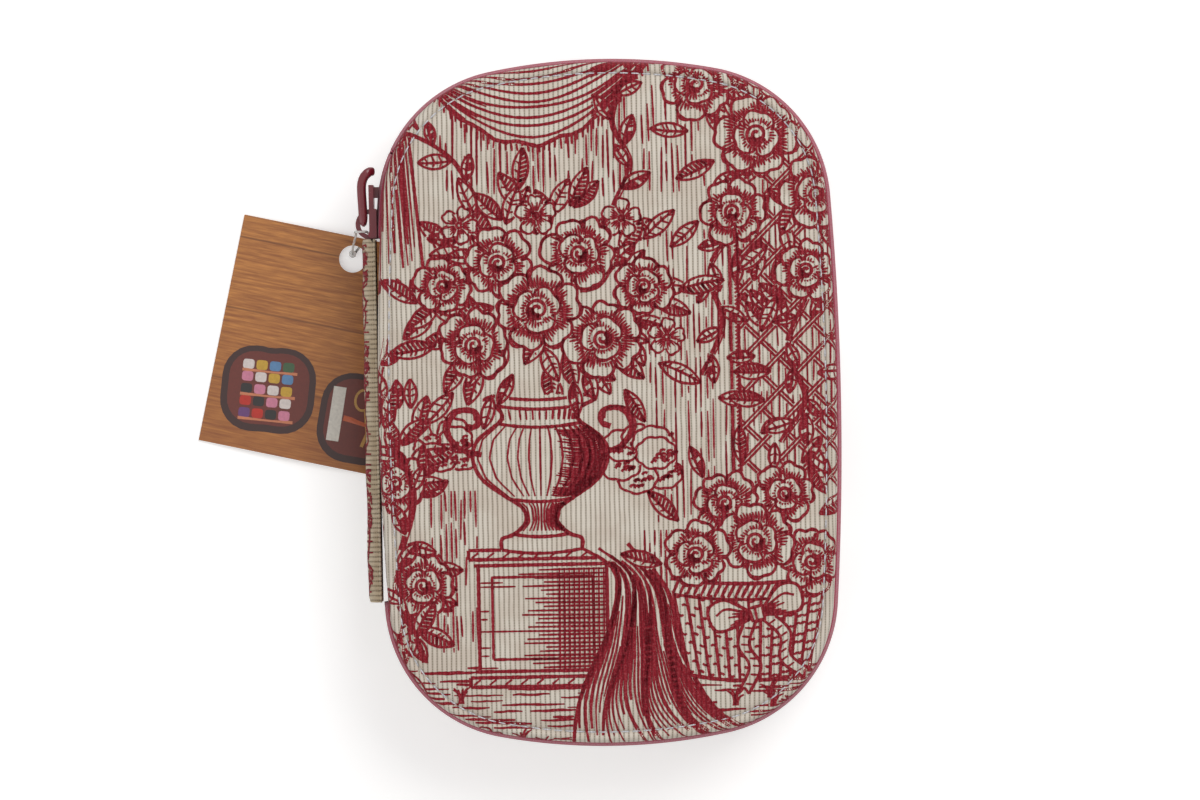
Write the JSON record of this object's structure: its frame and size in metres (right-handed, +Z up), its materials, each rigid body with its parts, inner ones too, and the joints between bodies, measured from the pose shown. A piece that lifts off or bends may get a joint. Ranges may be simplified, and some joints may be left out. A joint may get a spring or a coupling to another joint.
{
  "type": "sewing etui",
  "caption": "Zip-round sewing case with a printed ribbed cloth cover, folding lid on a bowed spine, swing tag, and reels, scissors and tape measure inside.",
  "frame": {"origin": "middle of the flat patch under the base that the case rests on", "axes": "+Z up out of the lid, +Y along the case's length towards its top end, +X away from the spine"},
  "size_m": [0.153, 0.1622, 0.035],
  "materials": {
    "printed_corduroy": "matte ribbed cloth, cream with a deep red country-garden print",
    "foam_board": "matte",
    "lining_cloth": "matte woven, dark red-brown",
    "spine_lining_cloth": "matte ribbed, near black",
    "spine_cloth": "matte cross-ribbed cloth",
    "zip_tape": "matte woven, crimson pink",
    "zip_coil": "semi-gloss",
    "slider_metal": "gloss lacquer, dark maroon",
    "nylon_filament": "clear, glossy",
    "tag_card": "satin, printed with a wood grain",
    "elastic_peach": "matte woven elastic",
    "elastic_brown": "matte woven elastic",
    "reel_plastic": "semi-gloss",
    "thread_purple": "soft sheen of wound thread",
    "thread_olive": "soft sheen of wound thread",
    "thread_black": "soft sheen of wound thread",
    "thread_pale_blue": "soft sheen of wound thread",
    "thread_white": "soft sheen of wound thread",
    "thread_mustard": "soft sheen of wound thread",
    "thread_lilac": "soft sheen of wound thread",
    "thread_red": "soft sheen of wound thread",
    "thread_brown": "soft sheen of wound thread",
    "thread_magenta": "soft sheen of wound thread",
    "thread_ivory": "soft sheen of wound thread",
    "thread_light_pink": "soft sheen of wound thread",
    "tube_red": "semi-gloss",
    "cushion_felt": "matte felt",
    "pin_steel": "bright",
    "measure_tape": "coated, satin",
    "scissor_gilt": "polished",
    "screw_steel": "satin",
    "button_resin": "semi-gloss",
    "chalk_orange": "matte",
    "threader_tin": "satin"
  },
  "bodies": {
    "base": {"base_cover": "printed_corduroy", "base_core": "foam_board", "base_lining": "lining_cloth", "base_zip_tape": "zip_tape", "base_zip_coil": "zip_coil", "zip_start": "zip_tape", "tape_measure": "measure_tape", "tape_measure_band": "elastic_peach", "scissors_lower": "scissor_gilt", "scissor_screw": "screw_steel", "scissor_band": "elastic_brown", "spare_buttons": "button_resin", "marking_chalk": "chalk_orange", "needle_threader": "threader_tin"},
    "spine": {"spine_cover": "spine_cloth", "spine_lining": "spine_lining_cloth"},
    "lid": {"lid_cover": "printed_corduroy", "lid_core": "foam_board", "lid_lining": "lining_cloth", "lid_zip_tape": "zip_tape", "lid_zip_coil": "zip_coil", "reel_row_1": "reel_plastic", "reel_row_2": "reel_plastic", "reel_row_3": "reel_plastic", "reel_band_1": "elastic_peach", "reel_band_2": "elastic_peach", "reel_band_3": "elastic_peach", "thread_purple": "thread_purple", "thread_olive": "thread_olive", "thread_black": "thread_black", "thread_pale_blue": "thread_pale_blue", "thread_white": "thread_white", "thread_mustard": "thread_mustard", "thread_lilac": "thread_lilac", "thread_red": "thread_red", "thread_brown": "thread_brown", "thread_magenta": "thread_magenta", "thread_ivory": "thread_ivory", "thread_light_pink": "thread_light_pink", "needle_tube": "tube_red", "needle_tube_cap": "tube_red", "needle_tube_band": "elastic_peach", "pin_pad": "cushion_felt", "pins": "pin_steel", "pin_band": "elastic_peach"},
    "slider": {"slider_body": "slider_metal", "tag_fastener": "nylon_filament"},
    "pull": {"slider_pull": "slider_metal"},
    "tag": {"swing_tag": "tag_card"},
    "scissor_half": {"scissors_upper": "scissor_gilt"}
  },
  "joints": [
    {"name": "spine_fold", "type": "hinge", "parent": "base", "child": "spine", "pos_m": [-0.054, 0, 0.0135], "axis": [0, -1, 0], "range_deg": [0, 90]},
    {"name": "lid_fold", "type": "hinge", "parent": "spine", "child": "lid", "pos_m": [-0.054, 0, 0.0225], "axis": [0, -1, 0], "range_deg": [0, 90]},
    {"name": "slider_travel", "type": "hinge", "parent": "base", "child": "slider", "pos_m": [-0.02041, 0.046, 0.018], "axis": [0, 0, -1], "range_deg": [0, 75]},
    {"name": "pull_swing", "type": "hinge", "parent": "slider", "child": "pull", "pos_m": [-0.05686, 0.0431, 0.018], "axis": [0, 0, 1], "range_deg": [0, 90]},
    {"name": "tag_swing", "type": "hinge", "parent": "slider", "child": "tag", "pos_m": [-0.0602, 0.0354, 0.0006], "axis": [0, 0, -1], "range_deg": [0, 35]},
    {"name": "scissor_open", "type": "hinge", "parent": "base", "child": "scissor_half", "pos_m": [0.0045, 0.004, 0.0079], "axis": [0, 0, -1], "range_deg": [0, 22]}
  ]
}
